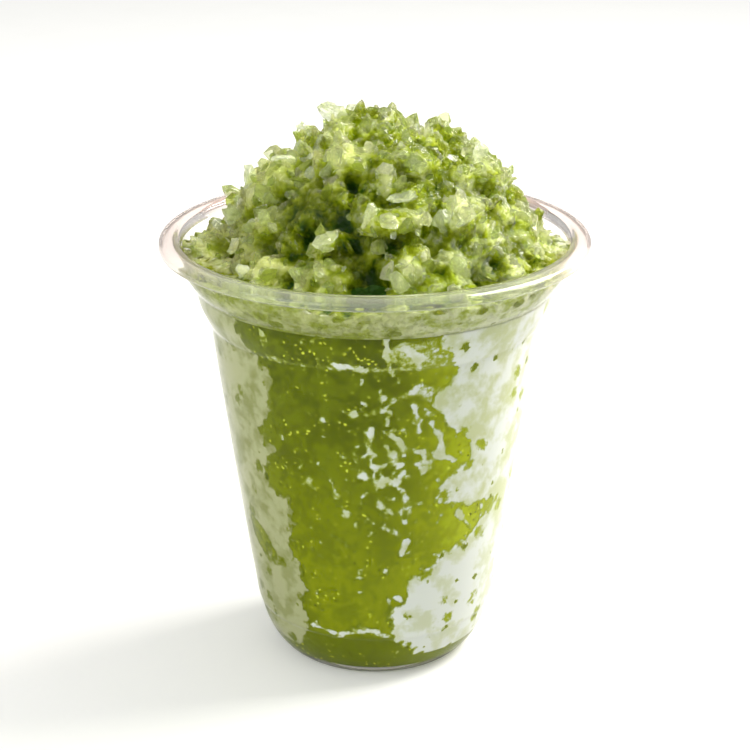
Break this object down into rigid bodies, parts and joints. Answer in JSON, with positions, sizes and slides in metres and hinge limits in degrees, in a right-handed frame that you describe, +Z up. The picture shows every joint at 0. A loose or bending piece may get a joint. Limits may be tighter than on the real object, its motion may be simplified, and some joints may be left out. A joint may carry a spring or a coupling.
{
  "type": "shaved ice dessert",
  "caption": "Heaped green tea shaved ice in its clear flared plastic cup, with milk run down inside the wall.",
  "frame": {"origin": "middle of the cup's contact ring, on the surface that it stands on", "axes": "+Z up along the cup's axis, -Y towards the front, +X to the right seen from the front"},
  "size_m": [0.098, 0.098, 0.1301],
  "materials": {
    "clear_cup": "clear thermoformed sheet, glossy",
    "matcha_slush": "wet, packed green slush",
    "milk": "wet, frosted milk",
    "wet_ice": "wet coarse shaved ice, translucent at its edges"
  },
  "bodies": {
    "root": {"cup": "clear_cup", "matcha_slush": "matcha_slush", "milk_left": "milk", "milk_right": "milk", "shaved_ice": "wet_ice"}
  },
  "joints": []
}
